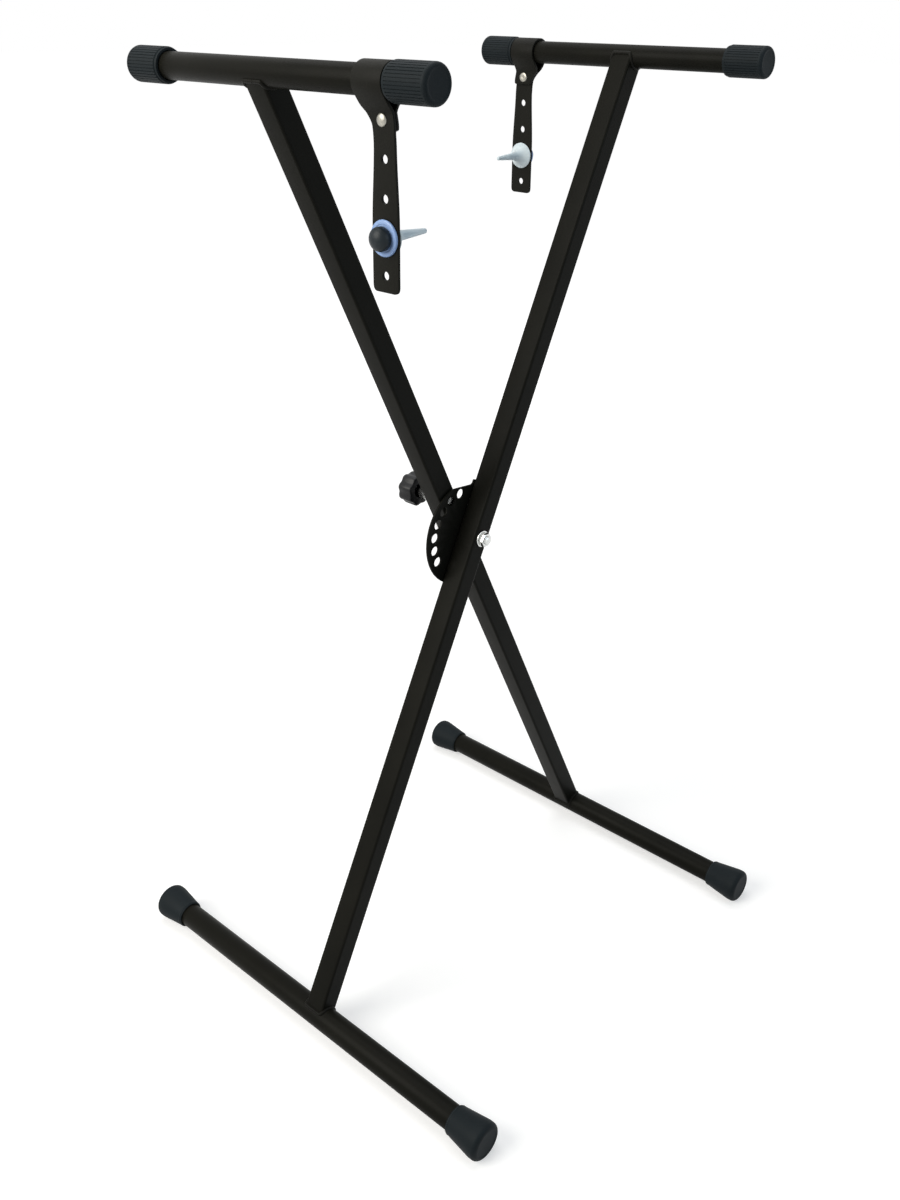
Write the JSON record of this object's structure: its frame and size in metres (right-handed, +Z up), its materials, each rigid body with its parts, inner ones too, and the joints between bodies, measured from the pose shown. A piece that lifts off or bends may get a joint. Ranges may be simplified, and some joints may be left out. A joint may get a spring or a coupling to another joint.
{
  "type": "keyboard stand",
  "caption": "Folding X-shaped keyboard stand with welded tube frames, perforated locking plate with spring pin, capped round arms and feet, and hanging peg straps.",
  "frame": {"origin": "on the floor under the pivot, centre of the bounding box's base", "axes": "+Z up, Y along the pivot bolt, the support arms and the feet, X across the X shape"},
  "size_m": [0.508, 0.487, 0.9552],
  "materials": {
    "coat": "satin black powder coat",
    "rubber": "moulded black rubber",
    "strap": "moulded black rubber, softer",
    "zinc": "bright zinc plated",
    "knob": "black plastic",
    "peg": "translucent pale blue plastic",
    "liner": "white nylon",
    "spring": "spring steel"
  },
  "bodies": {
    "frame_a": {"leg_a": "coat", "support_arm_a": "coat", "foot_tube_a": "coat", "arm_cap_a_near": "rubber", "arm_cap_a_far": "rubber", "foot_boot_a_near": "rubber", "foot_boot_a_far": "rubber", "pivot_sleeve_a": "zinc", "pivot_bolt": "zinc", "pivot_nut": "zinc", "head_washer": "zinc", "nut_washer": "zinc", "pivot_liner": "liner", "lock_housing": "zinc", "lock_spring": "spring"},
    "frame_b": {"leg_b": "coat", "support_arm_b": "coat", "foot_tube_b": "coat", "arm_cap_b_near": "rubber", "arm_cap_b_far": "rubber", "foot_boot_b_near": "rubber", "foot_boot_b_far": "rubber", "pivot_sleeve_b": "zinc", "locking_plate": "coat"},
    "lock_pin": {"lock_pin": "zinc", "lock_knob": "knob"},
    "strap_a": {"strap_a": "strap", "strap_rivet_a": "zinc"},
    "strap_b": {"strap_b": "strap", "strap_rivet_b": "zinc"},
    "peg_a": {"peg_knob_a": "knob", "peg_washer_a": "peg", "peg_spike_a": "peg", "peg_screw_a": "zinc"},
    "peg_b": {"peg_knob_b": "knob", "peg_washer_b": "peg", "peg_spike_b": "peg", "peg_screw_b": "zinc"}
  },
  "joints": [
    {"name": "fold", "type": "hinge", "parent": "frame_a", "child": "frame_b", "pos_m": [0, 0, 0.48891], "axis": [0, 1, 0], "range_deg": [-48, 90]},
    {"name": "lock_pin", "type": "slide", "parent": "frame_a", "child": "lock_pin", "axis": [0, -1, 0], "range_m": [0, 0.014], "deforming": ["lock_spring"]},
    {"name": "strap_swing_a", "type": "hinge", "parent": "frame_a", "child": "strap_a", "pos_m": [-0.22588, -0.1124, 0.94058], "axis": [0, -1, 0], "range_deg": [-90, 60]},
    {"name": "strap_swing_b", "type": "hinge", "parent": "frame_b", "child": "strap_b", "pos_m": [0.22588, 0.1124, 0.94058], "axis": [0, 1, 0], "range_deg": [-90, 60]},
    {"name": "peg_turn_a", "type": "hinge", "parent": "strap_a", "child": "peg_a", "pos_m": [-0.22728, -0.119, 0.83358], "axis": [1, 0, 0], "continuous": true},
    {"name": "peg_turn_b", "type": "hinge", "parent": "strap_b", "child": "peg_b", "pos_m": [0.22728, 0.119, 0.83358], "axis": [-1, 0, 0], "continuous": true}
  ]
}
